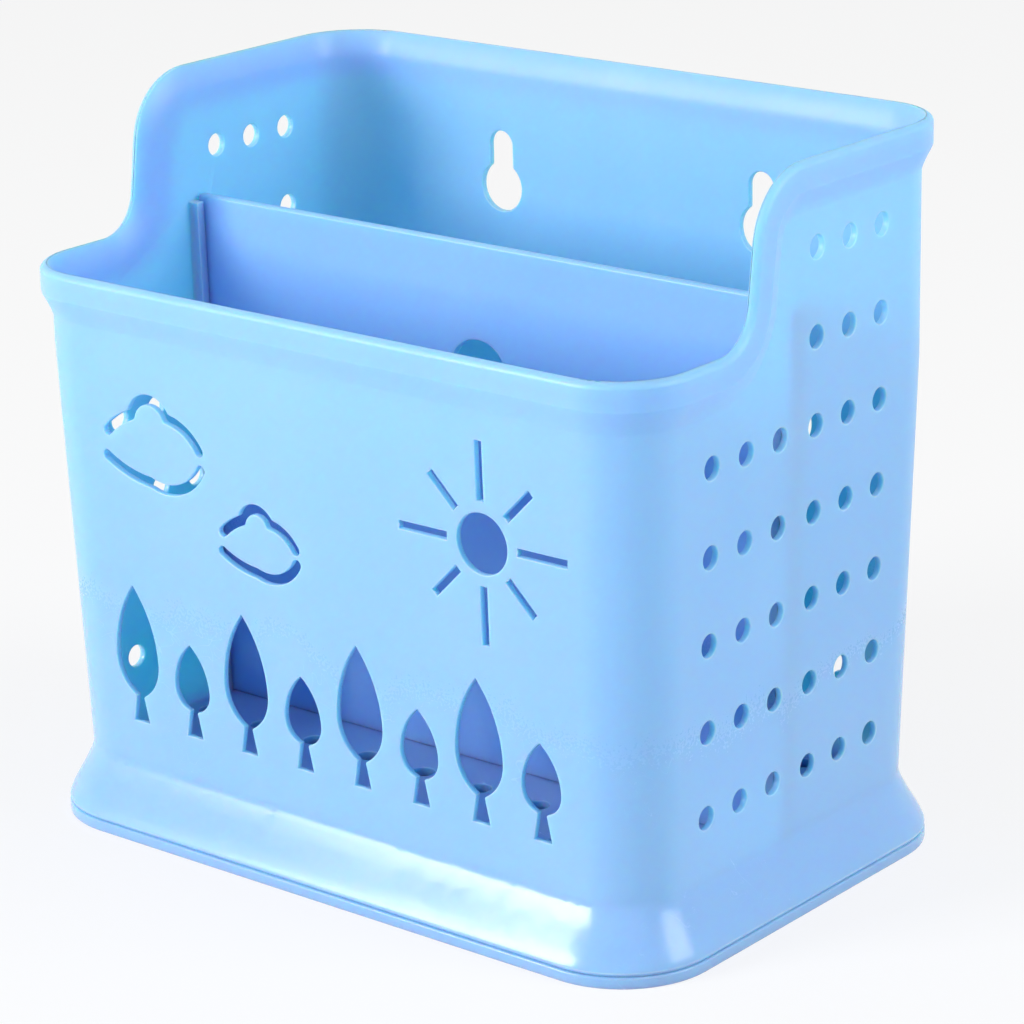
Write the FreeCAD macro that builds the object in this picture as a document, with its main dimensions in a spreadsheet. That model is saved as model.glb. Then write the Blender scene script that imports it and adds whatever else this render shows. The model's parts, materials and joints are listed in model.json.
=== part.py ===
import FreeCAD, Part
import math
import operator
import os
from types import SimpleNamespace

import Sketcher

Vector = FreeCAD.Vector
up = Vector(0, 0, 1)

# Driving sizes in millimetres, angles in degrees. X runs to the right, Y to the back, Z up.
# The origin is the middle of the foot, on the table.
driving_sizes = (
    # foot and skirt
    ("foot_width", 155.0),
    ("foot_depth", 104.0),
    ("foot_corner", 19.0),
    ("skirt_top", 14.8),
    ("skirt_edge", 0.8),
    ("skirt_thick", 2.4),
    ("skirt_inset", 1.0),
    ("skirt_reach_x", 5.1),
    ("skirt_reach_y", 6.05),
    # walls and floor of the basket
    ("wall_draft_x", 2.0),
    ("wall_draft_y", 2.35),
    ("wall_corner", 13.0),
    ("wall_thick", 1.5),
    ("straight_drop", 15.3),
    ("floor_top", 12.0),
    ("floor_thick", 2.0),
    # rim line: high at the back, low at the front, with an S bend on both sides
    ("rear_height", 144.0),
    ("front_drop", 30.7),
    ("bend_set_back", 32.7),
    ("bend_lean_angle", 8.0),
    ("bend_crest", 14.5),
    ("bend_hollow", 8.5),
    # section of the flared rim, measured out and down from its top on the wall's outer face
    ("lip_proud", 2.1),
    ("lip_round", 1.4),
    ("lip_slope_angle", 26.0),
    ("lip_cove", 10.5),
    ("lip_cove_out", 0.8),
    ("lip_cove_drop", 8.0),
    ("lip_root", 1.0),
    ("flare_drop", 7.6),
    ("flare_out", 0.5),
    ("flare_start", 0.1),
    ("flare_reach", 4.0),
    ("wall_stop", 3.0),
    # round holes in the side walls
    ("side_hole", 4.5),
    ("side_pitch_y", 10.3),
    ("side_pitch_z", 16.7),
    ("side_first_y", 5.6),
    ("side_first_z", 26.6),
    ("side_margin", 17.0),
    # picture cut through the front and back walls
    ("sun_side", 33.4),
    ("sun_drop", 35.0),
    ("sun_disc", 11.7),
    ("ray_width", 1.5),
    ("ray_start", 8.2),
    ("ray_long", 19.4),
    ("ray_short", 16.4),
    ("tree_pitch", 14.44),
    ("tree_foot_z", 23.3),
    ("tall_height", 28.6),
    ("tall_crown", 11.2),
    ("short_height", 19.2),
    ("short_crown", 9.1),
    ("trunk_height", 5.4),
    ("trunk_neck", 1.9),
    ("trunk_foot", 4.1),
    ("cloud_line", 2.0),
    ("big_cloud_side", 30.5),
    ("big_cloud_drop", 38.5),
    ("big_cloud_width", 25.2),
    ("small_cloud_side", 56.7),
    ("small_cloud_drop", 51.7),
    ("small_cloud_width", 19.3),
    # keyholes in the back wall
    ("keyhole_spacing", 65.0),
    ("keyhole_drop", 28.6),
    ("keyhole_entry", 10.2),
    ("keyhole_slot", 5.8),
    ("keyhole_rise", 8.7),
    # drain holes in the floor
    ("drain_hole", 4.5),
    ("drain_pitch_x", 14.44),
    ("drain_pitch_y", 12.0),
    ("drain_margin", 5.5),
    # divider and its guide ribs
    ("divider_thick", 2.0),
    ("divider_proud", 4.7),
    ("divider_gap", 0.5),
    ("divider_edge", 0.6),
    ("grip_hole", 14.0),
    ("grip_drop", 26.0),
    ("rib_thick", 2.0),
    ("rib_reach", 2.4),
    ("rib_drop", 1.2),
    ("guide_gap", 0.3),
    # drip tray
    ("tray_plate", 2.3),
    ("tray_wall", 1.8),
    ("tray_rise", 9.4),
    ("tray_gap", 0.5),
    ("tray_edge", 0.4),
    # how far a cut runs past the face that it opens
    ("overrun", 2.0),
)

side_columns = 3
ray_pairs = 4
keyhole_count = 2

# The skirt's outline from its edge up to the wall: shares of its height, and of the way from wall to foot
skirt_shares = (
    (0.0, 1.0), (0.12, 0.89), (0.32, 0.65), (0.53, 0.38), (0.73, 0.15), (0.87, 0.035), (1.0, 0.0),
)
skirt_tuck_share = 0.92
# The height of a tree's widest point as a share of its crown
belly_share = 0.33
# A cloud's upper line is three bumps and its lower line two shallow bows: shares of its width
cloud_top_shares = (
    (-0.48, 0.335), (-0.36, 0.43), (-0.22, 0.50), (-0.035, 0.648),
    (0.15, 0.53), (0.335, 0.466), (0.473, 0.326),
)
cloud_bottom_shares = ((-0.50, 0.132), (-0.30, 0.038), (-0.05, -0.012), (0.28, -0.004), (0.48, 0.178))
# The mark of a pattern's spacing that follows its Offset
as_offset = -1.0


# A size that keeps both its number and the expression that works it out from the sheet.
class Size:
    def __init__(self, value, text):
        self.value = value
        self.text = text

    def __add__(self, other):
        return combine(self, other, "+", operator.add)

    def __sub__(self, other):
        return combine(self, other, "-", operator.sub)

    def __mul__(self, other):
        return combine(self, other, "*", operator.mul)

    def __truediv__(self, other):
        return combine(self, other, "/", operator.truediv)

    def __neg__(self):
        return Size(-self.value, f"(0 - {self.text})")


def as_size(item):
    if isinstance(item, Size):
        return item
    return Size(float(item), f"({float(item)})")


def combine(first, second, sign, work):
    first = as_size(first)
    second = as_size(second)
    return Size(work(first.value, second.value), f"({first.text} {sign} {second.text})")


def sine(angle):
    return Size(math.sin(math.radians(angle.value)), f"sin({angle.text})")


def cosine(angle):
    return Size(math.cos(math.radians(angle.value)), f"cos({angle.text})")


def root(size):
    return Size(math.sqrt(size.value), f"sqrt({size.text})")


doc = FreeCAD.newDocument("chopstick_holder")
sheet = doc.addObject("Spreadsheet::Sheet", "sizes")
d = SimpleNamespace()
for row, (name, value) in enumerate(driving_sizes, start=1):
    sheet.set(f"A{row}", name)
    sheet.set(f"B{row}", str(value))
    sheet.setAlias(f"B{row}", name)
    setattr(d, name, Size(value, f"sizes.{name}"))
doc.recompute()

# Sizes that follow from the driving ones
d.wall_base_width = d.foot_width - d.skirt_reach_x * 2
d.wall_base_depth = d.foot_depth - d.skirt_reach_y * 2
d.wall_top_width = d.wall_base_width + d.wall_draft_x * 2
d.wall_top_depth = d.wall_base_depth + d.wall_draft_y * 2
d.front_height = d.rear_height - d.front_drop
d.straight_from = d.front_height - d.straight_drop
d.bend_y = d.bend_set_back - d.wall_top_depth / 2
d.sun_x = d.wall_base_width / 2 - d.sun_side
d.sun_z = d.front_height - d.sun_drop
d.big_cloud_x = d.big_cloud_side - d.wall_base_width / 2
d.big_cloud_z = d.front_height - d.big_cloud_drop
d.small_cloud_x = d.small_cloud_side - d.wall_base_width / 2
d.small_cloud_z = d.front_height - d.small_cloud_drop
d.keyhole_z = d.rear_height - d.keyhole_drop
d.divider_top = d.front_height + d.divider_proud
d.grip_z = d.divider_top - d.grip_drop
d.rib_top = d.divider_top - d.rib_drop


# How many steps of a pitch fit in a room
def steps(room, pitch):
    return max(int(room.value / pitch.value), 1)


# Rows and columns that fit: side holes under the rim, trees between the corners, drains within the walls
side_rows_front = 1 + steps(d.front_height - d.side_margin - d.side_first_z, d.side_pitch_z)
side_rows_rear = 1 + steps(d.rear_height - d.side_margin - d.side_first_z, d.side_pitch_z)
tree_room = d.wall_base_width / 2 - d.wall_corner - d.tall_crown / 2
tree_pairs = steps(tree_room + d.tree_pitch / 2, d.tree_pitch)
drain_room_x = d.wall_base_width / 2 - d.wall_thick - d.drain_margin
drain_columns = 2 * steps(drain_room_x + d.drain_pitch_x / 2, d.drain_pitch_x)
drain_rows = steps(d.wall_base_depth / 2 - d.wall_thick - d.drain_margin, d.drain_pitch_y)


# Helpers for sketches and features
def bind(item, prop, size):
    item.setExpression(prop, as_size(size).text)


def origin_feature(body, role):
    return next(feature for feature in body.Origin.OriginFeatures if feature.Role == role)


def sketch_on(body, role, name, x=None, y=None, level=None):
    sketch = body.newObject("Sketcher::SketchObject", name)
    sketch.AttachmentSupport = (origin_feature(body, role), [""])
    sketch.MapMode = "FlatFace"
    for axis, size in (("x", x), ("y", y), ("z", level)):
        if size is not None:
            bind(sketch, f"AttachmentOffset.Base.{axis}", size)
    return sketch


def datum(sketch, kind, refs, size):
    size = as_size(size)
    index = sketch.addConstraint(Sketcher.Constraint(kind, *refs, size.value))
    sketch.setExpression(f"Constraints[{index}]", size.text)


def rule(sketch, kind, *refs):
    sketch.addConstraint(Sketcher.Constraint(kind, *refs))


def place(sketch, item, point, x, y):
    datum(sketch, "DistanceX", (-1, 1, item, point), x)
    datum(sketch, "DistanceY", (-1, 1, item, point), y)


def flat(x, y):
    return Vector(as_size(x).value, as_size(y).value, 0)


def arc(centre, radius, start, end):
    circle = Part.Circle(centre, up, radius)
    return Part.ArcOfCircle(circle, math.radians(start), math.radians(end))


def draw_rounded_rect(sketch, width, depth, corner):
    x = width / 2 - corner
    y = depth / 2 - corner
    centres = ((x, y), (-x, y), (-x, -y), (x, -y))
    arcs = []
    for quarter, (cx, cy) in enumerate(centres):
        arcs.append(sketch.addGeometry(arc(flat(cx, cy), corner.value, 90 * quarter, 90 * quarter + 90)))
    for here, there in zip(arcs, arcs[1:] + arcs[:1]):
        line = sketch.addGeometry(Part.LineSegment(sketch.getPoint(here, 2), sketch.getPoint(there, 1)))
        rule(sketch, "Tangent", here, 2, line, 1)
        rule(sketch, "Tangent", line, 2, there, 1)
    for item, (cx, cy) in zip(arcs, centres):
        place(sketch, item, 3, cx, cy)
        datum(sketch, "Radius", (item,), corner)


# An outline through points: each leg is a line or, where bows gives a radius, an arc (positive turns left)
def draw_outline(sketch, points, bows=None, closed=True):
    ends = points[1:] + points[:1] if closed else points[1:]
    legs = []
    for number, (here, there) in enumerate(zip(points, ends)):
        start = flat(*here)
        end = flat(*there)
        bow = (bows or {}).get(number)
        if bow is None:
            legs.append((sketch.addGeometry(Part.LineSegment(start, end)), 1, 2))
            continue
        turn = math.copysign(1, bow.value)
        half = (end - start) / 2
        side = Vector(-half.y, half.x, 0).normalize()
        rise = math.sqrt(max(bow.value ** 2 - half.Length ** 2, 0))
        centre = start + half + side * turn * rise
        if turn < 0:
            start, end = end, start
        angles = [math.degrees(math.atan2(p.y - centre.y, p.x - centre.x)) for p in (start, end)]
        item = sketch.addGeometry(arc(centre, abs(bow.value), *angles))
        legs.append((item, 1, 2) if turn > 0 else (item, 2, 1))
        datum(sketch, "Radius", (item,), bow if turn > 0 else -bow)
    joined = zip(legs, legs[1:] + legs[:1]) if closed else zip(legs, legs[1:])
    for (here, _, last), (there, first, _) in joined:
        rule(sketch, "Coincident", here, last, there, first)
    for (item, first, _), (x, y) in zip(legs, points):
        place(sketch, item, first, x, y)
    if not closed:
        place(sketch, legs[-1][0], legs[-1][2], *points[-1])


def draw_circle(sketch, x, y, diameter):
    item = sketch.addGeometry(Part.Circle(flat(x, y), up, diameter.value / 2))
    place(sketch, item, 3, x, y)
    datum(sketch, "Radius", (item,), diameter / 2)


# A circle about the sketch's origin
def draw_disc(sketch, diameter):
    item = sketch.addGeometry(Part.Circle(flat(0, 0), up, diameter.value / 2))
    rule(sketch, "Coincident", item, 3, -1, 1)
    datum(sketch, "Radius", (item,), diameter / 2)


def rounded_section(body, name, level, width, depth, corner):
    sketch = sketch_on(body, "XY_Plane", name, level=level)
    draw_rounded_rect(sketch, width, depth, corner)
    return sketch


def loft(body, kind, name, sections, ruled=True):
    feature = body.newObject(f"PartDesign::{kind}", name)
    feature.Profile = sections[0]
    feature.Sections = sections[1:]
    feature.Ruled = ruled
    doc.recompute()
    return feature


def pad(body, name, sketch, length):
    feature = body.newObject("PartDesign::Pad", name)
    feature.Profile = sketch
    bind(feature, "Length", length)
    doc.recompute()
    return feature


# A cut through everything on both sides of the sketch, or on one side only
def cut_through(body, name, sketch, one_side=False, reverse=False):
    before = body.Shape.Volume
    feature = body.newObject("PartDesign::Pocket", name)
    feature.Profile = sketch
    feature.Type = "ThroughAll"
    if not one_side:
        feature.SideType = "Symmetric"
    feature.Reversed = reverse
    doc.recompute()
    if not body.Shape.Volume < before:
        raise RuntimeError(f"{name} cut nothing")
    return feature


def edges_at(shape, height, reach):
    names = []
    for number, edge in enumerate(shape.Edges, start=1):
        box = edge.BoundBox
        level = abs(box.ZMin - height) < reach and abs(box.ZMax - height) < reach
        if level:
            names.append(f"Edge{number}")
    return names


def round_edges(body, name, base, edges, radius):
    feature = body.newObject("PartDesign::Fillet", name)
    feature.Base = (base, edges)
    bind(feature, "Radius", radius)
    doc.recompute()
    return feature


# Copies of a cut along one or two of the body's axes
def repeat(body, name, feature, *runs):
    pattern = body.newObject("PartDesign::LinearPattern", name)
    pattern.Originals = [feature]
    for suffix, (role, spacing, count) in zip(("", "2"), runs):
        setattr(pattern, f"Direction{suffix}", (origin_feature(body, role), [""]))
        setattr(pattern, f"Mode{suffix}", "Spacing")
        setattr(pattern, f"Reversed{suffix}", spacing.value < 0)
        bind(pattern, f"Offset{suffix}", spacing if spacing.value > 0 else -spacing)
        setattr(pattern, f"Occurrences{suffix}", count)
        setattr(pattern, f"Spacings{suffix}", [as_offset] * (count - 1))
    body.Tip = pattern
    doc.recompute()
    return pattern


def repeat_round(body, name, feature, sketch, count):
    pattern = body.newObject("PartDesign::PolarPattern", name)
    pattern.Originals = [feature]
    pattern.Axis = (sketch, ["N_Axis"])
    pattern.Angle = 360
    pattern.Occurrences = count
    body.Tip = pattern
    doc.recompute()


# The rim's side line in the YZ plane, moved into the wall by an inset: its tangent points and centres
def bend_line(inset):
    lean_sin = sine(d.bend_lean_angle)
    lean_cos = cosine(d.bend_lean_angle)
    middle = (d.front_height + d.rear_height) / 2
    hollow_z = d.front_height + d.bend_hollow
    crest_z = d.rear_height - d.bend_crest
    hollow_run = (hollow_z - d.bend_hollow * lean_sin - middle) / lean_cos
    crest_run = (crest_z + d.bend_crest * lean_sin - middle) / lean_cos
    hollow_y = d.bend_y + hollow_run * lean_sin - d.bend_hollow * lean_cos
    crest_y = d.bend_y + crest_run * lean_sin + d.bend_crest * lean_cos
    hollow = d.bend_hollow + inset
    crest = d.bend_crest - inset
    return SimpleNamespace(
        hollow=hollow,
        crest=crest,
        low=(hollow_y, d.front_height - inset),
        hollow_end=(hollow_y + hollow * lean_cos, hollow_z - hollow * lean_sin),
        crest_start=(crest_y - crest * lean_cos, crest_z + crest * lean_sin),
        high=(crest_y, d.rear_height - inset),
        hollow_centre=(hollow_y, hollow_z),
        crest_centre=(crest_y, crest_z),
    )


# A section part of the way from one to another
def between(start, end, share):
    return [first + (last - first) * share for first, last in zip(start, end)]


# Basket: walls, skirt, floor, guide ribs and all its openings
def make_moulding():
    body = doc.addObject("PartDesign::Body", "basket_moulding")
    inner = d.wall_thick * 2

    base = (d.wall_base_width, d.wall_base_depth, d.wall_corner)
    top = (d.wall_top_width, d.wall_top_depth, d.wall_corner)
    foot = (d.foot_width, d.foot_depth, d.foot_corner)
    edge = d.tray_plate + d.skirt_edge
    loft(body, "AdditiveLoft", "walls", [
        rounded_section(body, "wall_base", d.skirt_top, *base),
        rounded_section(body, "wall_middle", d.straight_from, *top),
        rounded_section(body, "wall_top", d.rear_height, *top),
    ])
    skirt = []
    for number, (rise, out) in enumerate(skirt_shares):
        level = edge + (d.skirt_top - edge) * rise
        skirt.append(rounded_section(body, f"skirt_{number}", level, *between(base, foot, out)))
    loft(body, "AdditiveLoft", "skirt", skirt, ruled=False)
    loft(body, "AdditiveLoft", "skirt_edge", [
        rounded_section(body, "edge_top", edge, *foot),
        rounded_section(body, "edge_foot", d.tray_plate, *between(base, foot, skirt_tuck_share)),
    ])

    corner = d.wall_corner - d.wall_thick
    inside_base = (d.wall_base_width - inner, d.wall_base_depth - inner, corner)
    inside_top = (d.wall_top_width - inner, d.wall_top_depth - inner, corner)
    loft(body, "SubtractiveLoft", "inside", [
        rounded_section(body, "inside_floor", d.floor_top, *inside_base),
        rounded_section(body, "inside_middle", d.straight_from, *inside_top),
        rounded_section(body, "inside_top", d.rear_height + d.overrun, *inside_top),
    ])
    trim = d.skirt_thick * 2
    inset = d.skirt_inset * 2
    under_foot = (d.foot_width - trim, d.foot_depth - trim, d.foot_corner - d.skirt_thick)
    under_top = (d.wall_base_width - inset, d.wall_base_depth - inset, d.wall_corner - d.skirt_inset)
    loft(body, "SubtractiveLoft", "under_floor", [
        rounded_section(body, "under_foot", d.tray_plate - d.overrun, *under_foot),
        rounded_section(body, "under_top", d.floor_top - d.floor_thick, *under_top),
    ])

    line = bend_line(d.wall_stop)
    beyond = d.foot_depth / 2 + d.overrun
    above = d.rear_height + d.overrun
    sketch = sketch_on(body, "YZ_Plane", "rim_line")
    draw_outline(sketch, [
        (-beyond, line.low[1]), line.low, line.hollow_end, line.crest_start, line.high,
        (beyond, line.high[1]), (beyond, above), (-beyond, above),
    ], {1: line.hollow, 3: -line.crest})
    cut_through(body, "rim_cut", sketch)

    make_ribs(body)
    make_side_holes(body)
    make_sun(body)
    make_trees(body)
    make_keyholes(body)
    make_drains(body)
    return body


# Guide ribs: one in front of the divider at each side wall, mirrored behind it
def make_ribs(body):
    sketch = sketch_on(body, "XZ_Plane", "rib_outline", level=d.divider_thick / 2 + d.guide_gap)
    low = d.wall_base_width / 2 - d.wall_thick
    high = d.wall_top_width / 2 - d.wall_thick
    bite = d.wall_thick / 2
    bottom = d.floor_top - d.floor_thick / 2
    for side in (1, -1):
        draw_outline(sketch, [
            ((low - d.rib_reach) * side, bottom),
            ((low + bite) * side, bottom),
            ((high + bite) * side, d.rib_top),
            ((high - d.rib_reach) * side, d.rib_top),
        ])
    ribs = pad(body, "ribs", sketch, d.rib_thick)
    mirror = body.newObject("PartDesign::Mirrored", "ribs_behind")
    mirror.Originals = [ribs]
    mirror.MirrorPlane = (origin_feature(body, "XZ_Plane"), [""])
    body.Tip = mirror
    doc.recompute()


def make_side_holes(body):
    for name, side, rows in (("rear", 1, side_rows_rear), ("front", -1, side_rows_front)):
        sketch = sketch_on(body, "YZ_Plane", f"side_hole_{name}")
        draw_circle(sketch, d.side_first_y * side, d.side_first_z, d.side_hole)
        hole = cut_through(body, f"first_hole_{name}", sketch)
        columns = ("Y_Axis", d.side_pitch_y * side, side_columns)
        repeat(body, f"holes_{name}", hole, columns, ("Z_Axis", d.side_pitch_z, rows))


# Sun: a disc and two sets of rays, long ones upright and level, short ones between them
def make_sun(body):
    disc = sketch_on(body, "XZ_Plane", "sun_disc", d.sun_x, d.sun_z)
    draw_disc(disc, d.sun_disc)
    cut_through(body, "sun", disc)
    half = d.ray_width / 2
    for name, reach, turn in (("long", d.ray_long, 0), ("short", d.ray_short, 180 / ray_pairs)):
        sketch = sketch_on(body, "XZ_Plane", f"ray_{name}", d.sun_x, d.sun_z)
        sketch.AttachmentOffset = FreeCAD.Placement(sketch.AttachmentOffset.Base, FreeCAD.Rotation(up, turn))
        draw_outline(sketch, [(d.ray_start, -half), (reach, -half), (reach, half), (d.ray_start, half)])
        ray = cut_through(body, f"first_ray_{name}", sketch)
        repeat_round(body, f"rays_{name}", ray, sketch, ray_pairs)


# Tree: a pointed crown, widest below its middle, on a short trunk that spreads at its foot
def make_trees(body):
    for name, height, crown, step in (
        ("tall", d.tall_height, d.tall_crown, 0),
        ("short", d.short_height, d.short_crown, 1),
    ):
        first = d.tree_pitch * (step + 0.5 - tree_pairs)
        sketch = sketch_on(body, "XZ_Plane", f"tree_{name}", first, d.tree_foot_z)
        neck = d.trunk_neck / 2
        foot = d.trunk_foot / 2
        half = crown / 2
        leaf = height - d.trunk_height
        belly = d.trunk_height + leaf * belly_share
        upper = (half * half + (height - belly) * (height - belly)) / crown
        bulge = half - neck
        lower = (bulge * bulge + (belly - d.trunk_height) * (belly - d.trunk_height)) / (bulge * 2)
        draw_outline(sketch, [
            (-foot, 0), (foot, 0), (neck, d.trunk_height), (half, belly), (0, height),
            (-half, belly), (-neck, d.trunk_height),
        ], {2: lower, 3: upper, 4: upper, 5: lower})
        tree = cut_through(body, f"first_tree_{name}", sketch)
        repeat(body, f"trees_{name}", tree, ("X_Axis", d.tree_pitch * 2, tree_pairs))


# Keyhole: a round entry for a screw's head with a slot above it
def make_keyholes(body):
    first = d.keyhole_spacing * ((1 - keyhole_count) / 2)
    sketch = sketch_on(body, "XZ_Plane", "keyhole", first, d.keyhole_z)
    entry = d.keyhole_entry / 2
    slot = d.keyhole_slot / 2
    meet = root(entry * entry - slot * slot)
    draw_outline(sketch, [
        (-slot, meet), (-entry, 0), (0, -entry), (entry, 0), (slot, meet),
        (slot, d.keyhole_rise), (0, d.keyhole_rise + slot), (-slot, d.keyhole_rise),
    ], {0: entry, 1: entry, 2: entry, 3: entry, 5: slot, 6: slot})
    keyhole = cut_through(body, "first_keyhole", sketch, one_side=True)
    repeat(body, "keyholes", keyhole, ("X_Axis", d.keyhole_spacing, keyhole_count))


def make_drains(body):
    first = d.drain_pitch_x * ((1 - drain_columns) / 2)
    for name, side in (("rear", 1), ("front", -1)):
        sketch = sketch_on(body, "XY_Plane", f"drain_{name}")
        draw_circle(sketch, first, d.drain_pitch_y * side, d.drain_hole)
        hole = cut_through(body, f"first_drain_{name}", sketch)
        columns = ("X_Axis", d.drain_pitch_x, drain_columns)
        repeat(body, f"drains_{name}", hole, columns, ("Y_Axis", d.drain_pitch_y * side, drain_rows))


# The rim's top line round the wall's outer face: a closed run of lines and arcs, not in one plane
def make_rim_path():
    x = d.wall_top_width.value / 2
    y = d.wall_top_depth.value / 2
    r = d.wall_corner.value
    low = d.front_height.value
    high = d.rear_height.value
    line = bend_line(as_size(0))

    def turn(start, centre, end):
        outward = ((start + end) / 2 - centre).normalize()
        return [start, centre + outward * (start - centre).Length, end]

    def half(side):
        def on_side(point):
            return Vector(side * x, point[0].value, point[1].value)

        near = side * (x - r)
        front_arc = turn(Vector(near, -y, low), Vector(near, r - y, low), Vector(side * x, r - y, low))
        back_arc = turn(Vector(side * x, y - r, high), Vector(near, y - r, high), Vector(near, y, high))
        hollow = turn(*(on_side(point) for point in (line.low, line.hollow_centre, line.hollow_end)))
        crest = turn(*(on_side(point) for point in (line.crest_start, line.crest_centre, line.high)))
        return [
            Part.LineSegment(Vector(0, -y, low), front_arc[0]), Part.Arc(*front_arc),
            Part.LineSegment(front_arc[2], hollow[0]), Part.Arc(*hollow),
            Part.LineSegment(hollow[2], crest[0]), Part.Arc(*crest),
            Part.LineSegment(crest[2], back_arc[0]), Part.Arc(*back_arc),
            Part.LineSegment(back_arc[2], Vector(0, y, high)),
        ]

    curves = half(1) + half(-1)[::-1]
    path = doc.addObject("Part::Feature", "rim_path")
    path.Shape = Part.Wire(Part.__sortEdges__([curve.toShape() for curve in curves]))
    return path


# A closed section at the middle of the front wall, X out from the wall and Y up, swept round the rim
def sweep_rim(name, path, points, bows):
    sketch = doc.addObject("Sketcher::SketchObject", f"{name}_section")
    turn = FreeCAD.Rotation(Vector(0, -1, 0), Vector(0, 0, 1), Vector(-1, 0, 0), "XYZ")
    sketch.Placement = FreeCAD.Placement(Vector(0, 0, 0), turn)
    bind(sketch, "Placement.Base.y", -d.wall_top_depth / 2)
    bind(sketch, "Placement.Base.z", d.front_height)
    draw_outline(sketch, points, bows)
    doc.recompute()
    sweep = doc.addObject("Part::Sweep", name)
    sweep.Sections = [sketch]
    sweep.Spine = (path, [f"Edge{number}" for number in range(1, len(path.Shape.Edges) + 1)])
    sweep.Solid = True
    doc.recompute()
    return sweep


def make_lip(path):
    slope_sin = sine(d.lip_slope_angle)
    slope_cos = cosine(d.lip_slope_angle)
    joint = (d.lip_cove_out, -d.lip_cove_drop)
    cove_end = (joint[0] + d.lip_cove * slope_cos - d.lip_cove, joint[1] - d.lip_cove * slope_sin)
    corner_y = joint[1] + (d.lip_proud - joint[0]) * slope_cos / slope_sin
    ease = d.lip_round * (as_size(1) - slope_cos) / slope_sin
    return sweep_rim("lip", path, [
        cove_end,
        joint,
        (d.lip_proud - ease * slope_sin, corner_y - ease * slope_cos),
        (d.lip_proud, corner_y + ease),
        (d.lip_proud, -d.lip_round),
        (d.lip_proud - d.lip_round, 0),
        (-d.lip_root, 0),
        (-d.lip_root, cove_end[1]),
    ], {0: -d.lip_cove, 2: d.lip_round, 4: d.lip_round})


# What the rim's inner flare takes away: one bow that starts upright just inside the wall
def make_flare(path):
    start = -d.wall_thick - d.flare_start
    out = d.flare_out - start
    bow = (d.flare_drop * d.flare_drop + out * out) / (out * 2)
    run = d.flare_drop + d.overrun
    end = start + bow - root(bow * bow - run * run)
    inside = -d.wall_thick - d.flare_reach
    return sweep_rim("flare", path, [
        (start, -d.flare_drop),
        (end, d.overrun),
        (inside, d.overrun),
        (inside, -d.flare_drop),
    ], {0: -bow})


# One line of a cloud, given as bumps through share points, widened to a band and run through both walls
def make_cloud_line(name, x, z, width, shares):
    sketch = doc.addObject("Sketcher::SketchObject", f"{name}_line")
    sketch.Placement = FreeCAD.Placement(Vector(0, 0, 0), FreeCAD.Rotation(Vector(1, 0, 0), 90))
    bind(sketch, "Placement.Base.x", x)
    bind(sketch, "Placement.Base.z", z)
    knots = shares[::2]
    bows = {}
    for number, (start, middle, end) in enumerate(zip(knots, shares[1::2], knots[1:])):
        bump = Part.Arc(*(Vector(*share, 0) for share in (start, middle, end)))
        cross = (Vector(*middle, 0) - Vector(*start, 0)).cross(Vector(*end, 0) - Vector(*middle, 0))
        bows[number] = width * math.copysign(bump.toShape().Curve.Radius, cross.z)
    draw_outline(sketch, [(width * a, width * b) for a, b in knots], bows, closed=False)
    band = doc.addObject("Part::Offset2D", f"{name}_band")
    band.Source = sketch
    band.Mode = "Pipe"
    band.Fill = True
    bind(band, "Value", d.cloud_line / 2)
    run = doc.addObject("Part::Extrusion", name)
    run.Base = band
    run.DirMode = "Custom"
    run.Dir = Vector(0, 1, 0)
    run.Symmetric = True
    run.Solid = True
    bind(run, "LengthFwd", d.foot_depth)
    doc.recompute()
    return run


def make_basket():
    moulding = make_moulding()
    path = make_rim_path()
    rimmed = doc.addObject("Part::Fuse", "rimmed")
    rimmed.Base = moulding
    rimmed.Tool = make_lip(path)
    rimmed.Refine = True
    cuts = [make_flare(path)]
    for name, x, z, width in (
        ("big_cloud", d.big_cloud_x, d.big_cloud_z, d.big_cloud_width),
        ("small_cloud", d.small_cloud_x, d.small_cloud_z, d.small_cloud_width),
    ):
        cuts.append(make_cloud_line(f"{name}_top", x, z, width, cloud_top_shares))
        cuts.append(make_cloud_line(f"{name}_bottom", x, z, width, cloud_bottom_shares))
    tools = doc.addObject("Part::Compound", "late_cuts")
    tools.Links = cuts
    basket = doc.addObject("Part::Cut", "basket")
    basket.Base = rimmed
    basket.Tool = tools
    basket.Refine = True
    doc.recompute()
    return basket


# Divider: a plate that narrows downwards with the walls, with a finger hole
def make_divider():
    body = doc.addObject("PartDesign::Body", "divider")
    sketch = sketch_on(body, "XZ_Plane", "divider_outline", level=-d.divider_thick / 2)
    gap = d.wall_thick + d.divider_gap
    low = d.wall_base_width / 2 - gap
    high = d.wall_top_width / 2 - gap
    draw_outline(sketch, [
        (-low, d.floor_top), (low, d.floor_top), (high, d.divider_top), (-high, d.divider_top),
    ])
    plate = pad(body, "plate", sketch, d.divider_thick)
    rounded = edges_at(plate.Shape, d.divider_top.value, d.divider_edge.value)
    round_edges(body, "plate_top", plate, rounded, d.divider_edge)
    hole = sketch_on(body, "XZ_Plane", "grip_hole", y=d.grip_z)
    draw_disc(hole, d.grip_hole)
    cut_through(body, "grip", hole)
    return body


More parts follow.
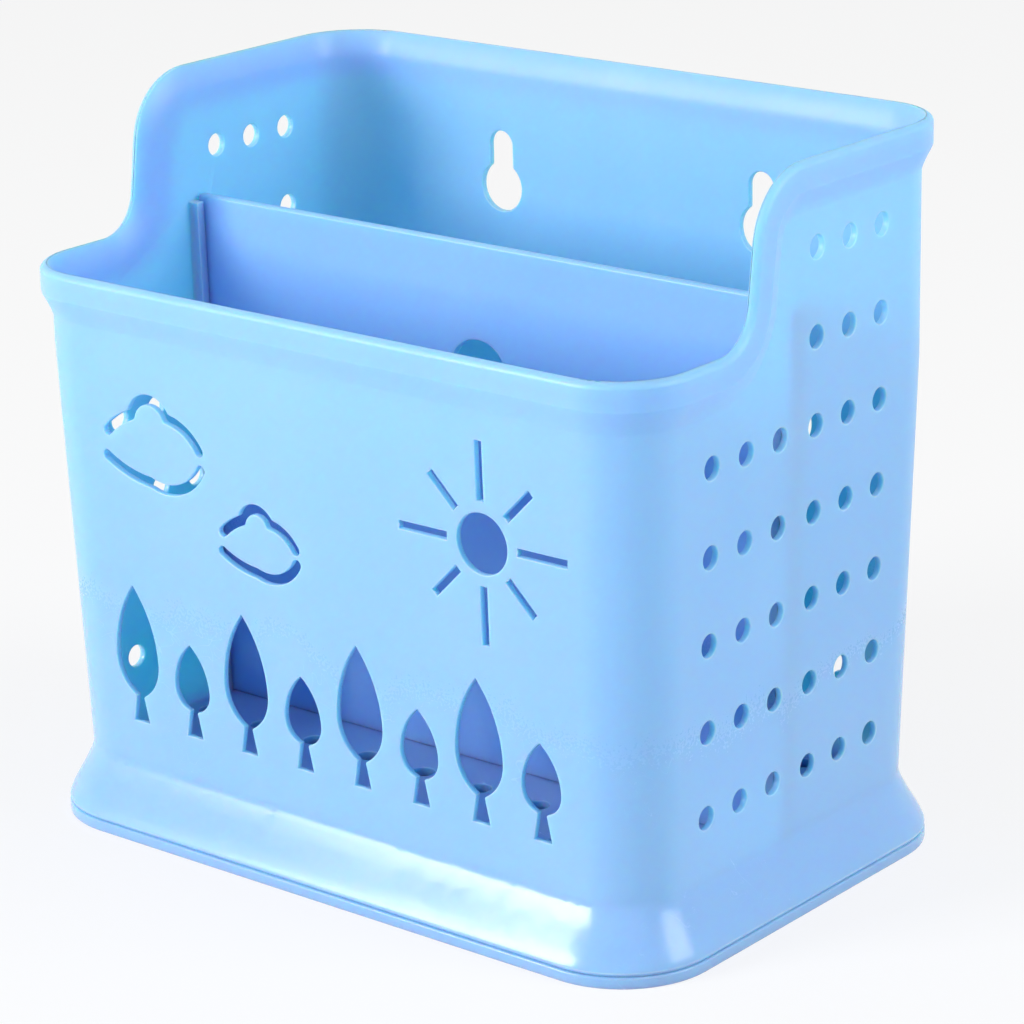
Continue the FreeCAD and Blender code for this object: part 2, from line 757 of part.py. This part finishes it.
# Drip tray: a plate as large as the foot with a low wall that stands inside the skirt
def make_tray():
    body = doc.addObject("PartDesign::Body", "drip_tray")
    foot = (d.foot_width, d.foot_depth, d.foot_corner)
    plate = pad(body, "plate", rounded_section(body, "plate_outline", as_size(0), *foot), d.tray_plate)
    rounded = []
    for level in (0, d.tray_plate.value):
        rounded += edges_at(plate.Shape, level, d.tray_edge.value)
    round_edges(body, "plate_edge", plate, rounded, d.tray_edge)
    gap = d.skirt_inset + d.tray_gap
    outer = (d.wall_base_width - gap * 2, d.wall_base_depth - gap * 2, d.wall_corner - gap)
    inset = gap + d.tray_wall
    inner = (d.wall_base_width - inset * 2, d.wall_base_depth - inset * 2, d.wall_corner - inset)
    pad(body, "wall", rounded_section(body, "wall_outline", as_size(0), *outer), d.tray_rise)
    pan = rounded_section(body, "pan_outline", d.tray_plate, *inner)
    cut_through(body, "pan", pan, one_side=True, reverse=True)
    top = edges_at(body.Shape, d.tray_rise.value, d.tray_edge.value)
    round_edges(body, "wall_edge", body.Tip, top, d.tray_edge)
    return body


pieces = [make_basket(), make_divider(), make_tray()]
doc.recompute()

for item in doc.Objects:
    if "Invalid" in item.State or "Error" in item.State:
        raise RuntimeError(f"{item.Name} failed: {item.State}")
for piece in pieces:
    if piece.Shape.isNull() or not piece.Shape.isValid() or len(piece.Shape.Solids) != 1:
        raise RuntimeError(f"{piece.Label} is not one valid solid")

os.makedirs("parts", exist_ok=True)
for piece in pieces:
    solid = piece.Shape.Solids[0]
    solid.exportStep(f"parts/{piece.Label}.step")
    box = solid.optimalBoundingBox()
    print(f"{piece.Label}: {box.XLength:.1f} x {box.YLength:.1f} x {box.ZLength:.1f} mm")
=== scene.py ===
import json
import math

import bmesh
import bpy
from mathutils import Matrix, Vector

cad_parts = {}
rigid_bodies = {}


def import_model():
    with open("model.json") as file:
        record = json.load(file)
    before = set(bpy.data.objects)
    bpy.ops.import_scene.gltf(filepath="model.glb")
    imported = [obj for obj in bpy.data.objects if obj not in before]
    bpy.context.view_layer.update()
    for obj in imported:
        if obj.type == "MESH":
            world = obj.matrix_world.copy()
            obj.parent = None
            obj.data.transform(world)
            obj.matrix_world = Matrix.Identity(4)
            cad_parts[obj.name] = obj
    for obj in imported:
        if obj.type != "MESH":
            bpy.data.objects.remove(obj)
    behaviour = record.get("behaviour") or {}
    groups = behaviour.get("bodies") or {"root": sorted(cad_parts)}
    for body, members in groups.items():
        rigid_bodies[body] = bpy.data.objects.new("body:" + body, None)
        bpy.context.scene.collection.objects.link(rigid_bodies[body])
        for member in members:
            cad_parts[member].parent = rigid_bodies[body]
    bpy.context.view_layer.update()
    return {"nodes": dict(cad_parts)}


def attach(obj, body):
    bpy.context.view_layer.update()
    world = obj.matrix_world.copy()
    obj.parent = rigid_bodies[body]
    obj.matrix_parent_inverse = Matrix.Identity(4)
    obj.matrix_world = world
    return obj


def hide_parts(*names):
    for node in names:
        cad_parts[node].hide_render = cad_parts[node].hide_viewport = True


for leftover in list(bpy.data.objects):  # the start-up cube, lamp and camera
    bpy.data.objects.remove(leftover)

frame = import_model()
scene = bpy.context.scene
scene.view_settings.view_transform = "Standard"
print("frame loaded:", ", ".join(sorted(frame["nodes"])))


# small helpers for node trees
def addNode(tree, kind, **settings):
    node = tree.nodes.new(kind)
    for key, value in settings.items():
        setattr(node, key, value)
    return node


def feed(tree, socket, value):
    if isinstance(value, bpy.types.NodeSocket):
        tree.links.new(value, socket)
    else:
        socket.default_value = value


def calc(tree, operation, *values, clamp=False):
    node = addNode(tree, "ShaderNodeMath", operation=operation, use_clamp=clamp)
    for socket, value in zip(node.inputs, values):
        feed(tree, socket, value)
    return node.outputs[0]


def stretch(tree, vector, scale):
    node = addNode(tree, "ShaderNodeMapping")
    feed(tree, node.inputs["Vector"], vector)
    node.inputs["Scale"].default_value = scale
    return node.outputs["Vector"]


def noise(tree, vector, scale, detail=2.0, roughness=0.5, distortion=0.0):
    node = addNode(tree, "ShaderNodeTexNoise")
    feed(tree, node.inputs["Vector"], vector)
    feed(tree, node.inputs["Scale"], scale)
    node.inputs["Detail"].default_value = detail
    node.inputs["Roughness"].default_value = roughness
    node.inputs["Distortion"].default_value = distortion
    return node.outputs["Fac"]


# a noise is set by the size of its spots, and swings to both sides of its middle
def perSize(tree, size):
    return calc(tree, "DIVIDE", 1.0, size)


def swing(tree, value):
    return calc(tree, "SUBTRACT", value, 0.5)


def ramp(tree, value, low, high, outLow=0.0, outHigh=1.0):
    node = addNode(tree, "ShaderNodeMapRange", interpolation_type="SMOOTHSTEP")
    for socket, item in zip(node.inputs, (value, low, high, outLow, outHigh)):
        feed(tree, socket, item)
    return node.outputs["Result"]


def blendColours(tree, share, first, second):
    node = addNode(tree, "ShaderNodeMix", data_type="RGBA")
    feed(tree, node.inputs["Factor"], share)
    feed(tree, node.inputs[6], first)
    feed(tree, node.inputs[7], second)
    return node.outputs[2]


def newGroup(name, inputs, outputs):
    group = bpy.data.node_groups.new(name, "ShaderNodeTree")
    for label, kind, value in inputs:
        group.interface.new_socket(name=label, in_out="INPUT", socket_type=kind).default_value = value
    for label, kind in outputs:
        group.interface.new_socket(name=label, in_out="OUTPUT", socket_type=kind)
    return group, group.nodes.new("NodeGroupInput").outputs, group.nodes.new("NodeGroupOutput").inputs


number = "NodeSocketFloat"
colour = "NodeSocketColor"


# skin of a moulded plastic: slow flow shades, orange peel, fine grain, hairline scuffs
# and an upper half dulled by hands
skinPattern = {
    "flowStretch": (1, 1, 0.55),
    "flowRange": (0.3, 0.7),
    "hairlineTurns": (0.35, 1.9),      # two sets, each turned about all three axes
    "hairlineTurnShares": (1.0, 0.6, 1.3),
    "hairlineStretch": (1, 22, 22),
    "hairlineScale": 14.0,
    "hairlineWidth": 0.006,
    "scuffPatchScale": 38.0,
    "scuffPatchRange": (0.48, 0.68),
    "handledHeights": (0.02, 0.09),    # metres up, from shiny to dull
    "flowMatt": 0.16,                  # what each layer does to the roughness
    "grainMatt": 0.08,
    "scuffMatt": 0.18,
    "grainHeight": 0.12,               # what each layer does to the height
    "scuffHeight": -0.25,
}


def makeMouldedSkin(pattern):
    group, given, out = newGroup("mouldedSkin", [
        ("Colour", colour, (0.5, 0.5, 0.5, 1)),
        ("Flow Colour", colour, (0.4, 0.4, 0.4, 1)),
        ("Flow Size", number, 0.04),
        ("Peel Size", number, 0.004),
        ("Grain Size", number, 0.0006),
        ("Roughness", number, 0.3),
        ("Scuffs", number, 0.5),
        ("Handling", number, 0.1),
    ], [("Colour", colour), ("Roughness", number), ("Height", number)])
    place = addNode(group, "ShaderNodeTexCoord").outputs["Object"]
    flow = noise(group, stretch(group, place, pattern["flowStretch"]), perSize(group, given["Flow Size"]),
                 detail=3.0, roughness=0.55, distortion=0.8)
    peel = noise(group, place, perSize(group, given["Peel Size"]), detail=1.0)
    grain = noise(group, place, perSize(group, given["Grain Size"]), detail=2.0, roughness=0.6)
    lines = 0.0
    for turn in pattern["hairlineTurns"]:
        tilt = addNode(group, "ShaderNodeVectorRotate", rotation_type="EULER_XYZ")
        feed(group, tilt.inputs["Vector"], place)
        tilt.inputs["Rotation"].default_value = [share * turn for share in pattern["hairlineTurnShares"]]
        drawnOut = stretch(group, tilt.outputs["Vector"], pattern["hairlineStretch"])
        streaks = noise(group, drawnOut, pattern["hairlineScale"], detail=1.0)
        near = calc(group, "ABSOLUTE", swing(group, streaks))
        lines = calc(group, "MAXIMUM", lines, ramp(group, near, 0.0, pattern["hairlineWidth"], 1.0, 0.0))
    patches = ramp(group, noise(group, place, pattern["scuffPatchScale"]), *pattern["scuffPatchRange"])
    scuff = calc(group, "MULTIPLY", calc(group, "MULTIPLY", lines, patches), given["Scuffs"])
    flowShare = ramp(group, flow, *pattern["flowRange"])
    feed(group, out["Colour"], blendColours(group, flowShare, given["Colour"], given["Flow Colour"]))
    matt = calc(group, "MULTIPLY_ADD", swing(group, flow), pattern["flowMatt"], given["Roughness"])
    matt = calc(group, "MULTIPLY_ADD", swing(group, grain), pattern["grainMatt"], matt)
    axes = addNode(group, "ShaderNodeSeparateXYZ")
    feed(group, axes.inputs["Vector"], place)
    handled = ramp(group, axes.outputs["Z"], *pattern["handledHeights"], 0.0, given["Handling"])
    matt = calc(group, "ADD", matt, handled)
    feed(group, out["Roughness"], calc(group, "MULTIPLY_ADD", scuff, pattern["scuffMatt"], matt, clamp=True))
    high = calc(group, "MULTIPLY_ADD", grain, pattern["grainHeight"], peel)
    feed(group, out["Height"], calc(group, "MULTIPLY_ADD", scuff, pattern["scuffHeight"], high))
    return group


# mask of the rubbed edges of a moulding, in patches along the lines marked on the mesh
def makeRubbedEdge():
    group, given, out = newGroup("rubbedEdge", [
        ("Wear", number, 0.5),
        ("Patch Size", number, 0.012),
    ], [("Mask", number)])
    edge = addNode(group, "ShaderNodeAttribute", attribute_name="rubbed").outputs["Fac"]
    place = addNode(group, "ShaderNodeTexCoord").outputs["Object"]
    patch = noise(group, place, perSize(group, given["Patch Size"]), detail=3.0, roughness=0.6)
    worn = calc(group, "MULTIPLY", edge, ramp(group, patch, 0.35, 0.65, outLow=0.3))
    feed(group, out["Mask"], calc(group, "MULTIPLY", worn, given["Wear"]))
    return group


mouldedSkin = makeMouldedSkin(skinPattern)
rubbedEdge = makeRubbedEdge()
print("shader groups built")


# inputs of the plastic's shader that are even all over, with the names of their values in a look
evenInputs = {
    "IOR": "bending",
    "Subsurface Weight": "glow",
    "Subsurface Radius": "glowRadius",
    "Subsurface Scale": "glowDepth",
    "Specular IOR Level": "shine",
    "Coat Weight": "coat",
    "Coat Roughness": "coatRoughness",
}


def makePlastic(name, look):
    material = bpy.data.materials.new(name)
    material.use_nodes = True
    tree = material.node_tree
    bsdf = tree.nodes["Principled BSDF"]
    skin = addNode(tree, "ShaderNodeGroup", node_tree=mouldedSkin)
    for label in ("Colour", "Flow Colour"):
        skin.inputs[label].default_value = (*look[label], 1)
    for label in ("Flow Size", "Peel Size", "Grain Size", "Roughness", "Scuffs", "Handling"):
        skin.inputs[label].default_value = look[label]
    edge = addNode(tree, "ShaderNodeGroup", node_tree=rubbedEdge)
    edge.inputs["Wear"].default_value = look["edgeWear"]
    wear = edge.outputs["Mask"]
    paler = blendColours(tree, wear, skin.outputs["Colour"], (*look["edgeColour"], 1))
    duller = calc(tree, "MULTIPLY_ADD", wear, look["edgeMatt"], skin.outputs["Roughness"])
    feed(tree, bsdf.inputs["Base Color"], paler)
    feed(tree, bsdf.inputs["Roughness"], duller)
    bump = addNode(tree, "ShaderNodeBump")
    bump.inputs["Strength"].default_value = look["bump"]
    bump.inputs["Distance"].default_value = look["bumpDepth"]
    feed(tree, bump.inputs["Height"], skin.outputs["Height"])
    feed(tree, bsdf.inputs["Normal"], bump.outputs["Normal"])
    for label, key in evenInputs.items():
        bsdf.inputs[label].default_value = look[key]
    return material


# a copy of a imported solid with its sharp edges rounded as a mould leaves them
edgeFinish = {
    "weld": 2e-6,
    "flatUnder": 0.05,      # degrees between faces that are joined
    "sharpFrom": 40,        # degrees between faces whose edge is rounded
    "round": 0.0003,
    "steps": 2,
    "normalWeight": 60,
}


def softenEdges(node, name, finish):
    work = bmesh.new()
    work.from_mesh(frame["nodes"][node].data)
    bmesh.ops.remove_doubles(work, verts=work.verts, dist=finish["weld"])
    bmesh.ops.dissolve_degenerate(work, dist=finish["weld"], edges=work.edges)
    flatUnder, sharpFrom = math.radians(finish["flatUnder"]), math.radians(finish["sharpFrom"])
    bmesh.ops.dissolve_limit(work, angle_limit=flatUnder, verts=work.verts, edges=work.edges)
    sharp = [edge for edge in work.edges if edge.is_convex and edge.calc_face_angle(0) > sharpFrom]
    made = bmesh.ops.bevel(work, geom=sharp, offset=finish["round"], offset_type="OFFSET",
                           segments=finish["steps"], profile=0.5, affect="EDGES", clamp_overlap=False)
    strips = set(made["faces"])
    rubbed = work.verts.layers.float.new("rubbed")
    for vert in work.verts:  # 1 along the middle of each rounded edge
        vert[rubbed] = float(bool(strips) and all(face in strips for face in vert.link_faces))
    for face in work.faces:
        face.smooth = True
    mesh = bpy.data.meshes.new(name)
    work.to_mesh(mesh)
    work.free()
    piece = bpy.data.objects.new(name, mesh)
    scene.collection.objects.link(piece)
    piece.modifiers.new("evenNormals", "WEIGHTED_NORMAL").weight = finish["normalWeight"]
    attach(piece, node)
    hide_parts(node)
    return piece


# the three pieces are moulded in one plastic
plasticLook = {
    "Colour": (0.295, 0.525, 0.985),
    "Flow Colour": (0.275, 0.510, 0.980),
    "Flow Size": 0.045,
    "Peel Size": 0.0045,
    "Grain Size": 0.0006,
    "Roughness": 0.19,
    "Scuffs": 0.5,
    "Handling": 0.22,
    "edgeColour": (0.50, 0.74, 0.98),
    "edgeWear": 0.5,
    "edgeMatt": 0.2,
    "bump": 0.35,
    "bumpDepth": 0.00006,
    "bending": 1.49,
    "glow": 1.0,
    "glowRadius": (0.2, 1.2, 0.8),
    "glowDepth": 0.005,
    "shine": 0.45,
    "coat": 0.03,
    "coatRoughness": 0.2,
}
pieceNames = {"basket": "basketMoulding", "divider": "dividerPlate", "drip_tray": "dripTray"}

for node, name in pieceNames.items():
    piece = softenEdges(node, name, edgeFinish)
    piece.data.materials.append(makePlastic(f"{name}Plastic", plasticLook))
    print(name, "has", len(piece.data.polygons), "faces")


# camera at the photo's own angle
photoCamera = {
    "target": (0.00694, -0.00001, 0.06545),
    "azimuth": 39.468,
    "elevation": 18.184,
    "roll": -1.207,
    "distance": 0.7418,
    "lens": 134.88,
    "sensor": 36,
    "nearest": 0.05,
}


# unit vector towards an azimuth and elevation, with azimuth 0 in front of the part
def aim(azimuth, elevation):
    a, e = math.radians(azimuth), math.radians(elevation)
    return Vector((math.sin(a) * math.cos(e), -math.cos(a) * math.cos(e), math.sin(e)))


def makeCamera(look):
    back = aim(look["azimuth"], look["elevation"])
    side = Vector((0, 0, 1)).cross(back).normalized()
    over = back.cross(side)
    r = math.radians(look["roll"])
    across = side * math.cos(r) + over * math.sin(r)
    above = over * math.cos(r) - side * math.sin(r)
    camera = bpy.data.objects.new("photoCamera", bpy.data.cameras.new("photoCamera"))
    camera.data.lens = look["lens"]
    camera.data.sensor_width = look["sensor"]
    camera.data.clip_start = look["nearest"]
    turn = Matrix((across, above, back)).transposed().to_4x4()
    camera.matrix_world = Matrix.Translation(Vector(look["target"]) + back * look["distance"]) @ turn
    scene.collection.objects.link(camera)
    scene.camera = camera


makeCamera(photoCamera)

# floor, world and lamps
studio = {
    "floorReach": 4,
    "floorColour": (0.86, 0.87, 0.88),
    "floorWhite": 0.78,      # how far the camera sees plain white, the rest keeps the shadow
    "ambient": 0.48,
    "lamps": {               # azimuth, elevation, size and power
        "keySoftbox": (-28, 17, 0.62, 21.5),
        "sideSoftbox": (106, 26, 0.80, 12.3),
        "glintLamp": (51, 22, 0.05, 0.3),
    },
    "lampDistance": 1.6,
    "lampAim": (0, 0, 0.07),
}


# 1 for rays that the camera sees straight, by reflection or through a clear surface
def seenDirectly(tree):
    path = addNode(tree, "ShaderNodeLightPath").outputs
    return calc(tree, "MAXIMUM", path["Is Camera Ray"],
                calc(tree, "MAXIMUM", path["Is Glossy Ray"], path["Is Transmission Ray"]))


def makeFloor():
    mesh = bpy.data.meshes.new("studioFloor")
    reach = studio["floorReach"]
    corners = [(-reach, -reach, 0), (reach, -reach, 0), (reach, reach, 0), (-reach, reach, 0)]
    mesh.from_pydata(corners, [], [(0, 1, 2, 3)])
    floor = bpy.data.objects.new("studioFloor", mesh)
    scene.collection.objects.link(floor)
    material = bpy.data.materials.new("floorPaper")
    material.use_nodes = True
    tree = material.node_tree
    tree.nodes.remove(tree.nodes["Principled BSDF"])
    paper = addNode(tree, "ShaderNodeBsdfDiffuse")
    paper.inputs["Color"].default_value = (*studio["floorColour"], 1)
    white = addNode(tree, "ShaderNodeEmission")
    mix = addNode(tree, "ShaderNodeMixShader")
    feed(tree, mix.inputs[0], calc(tree, "MULTIPLY", seenDirectly(tree), studio["floorWhite"]))
    feed(tree, mix.inputs[1], paper.outputs[0])
    feed(tree, mix.inputs[2], white.outputs[0])
    feed(tree, tree.nodes["Material Output"].inputs["Surface"], mix.outputs[0])
    mesh.materials.append(material)


def makeWorld():
    world = bpy.data.worlds.new("studioWorld")
    world.use_nodes = True
    tree = world.node_tree
    sky = tree.nodes["Background"]
    sky.inputs["Color"].default_value = (1, 1, 1, 1)
    feed(tree, sky.inputs["Strength"], ramp(tree, seenDirectly(tree), 0, 1, studio["ambient"], 1.0))
    scene.world = world


def makeLamp(name, azimuth, elevation, size, power):
    lamp = bpy.data.objects.new(name, bpy.data.lights.new(name, "AREA"))
    lamp.data.size = size
    lamp.data.energy = power
    lamp.location = Vector(studio["lampAim"]) + aim(azimuth, elevation) * studio["lampDistance"]
    lamp.rotation_euler = aim(azimuth, elevation).to_track_quat("Z", "Y").to_euler()
    scene.collection.objects.link(lamp)


makeFloor()
makeWorld()
for name, lampLook in studio["lamps"].items():
    makeLamp(name, *lampLook)
print("studio ready")
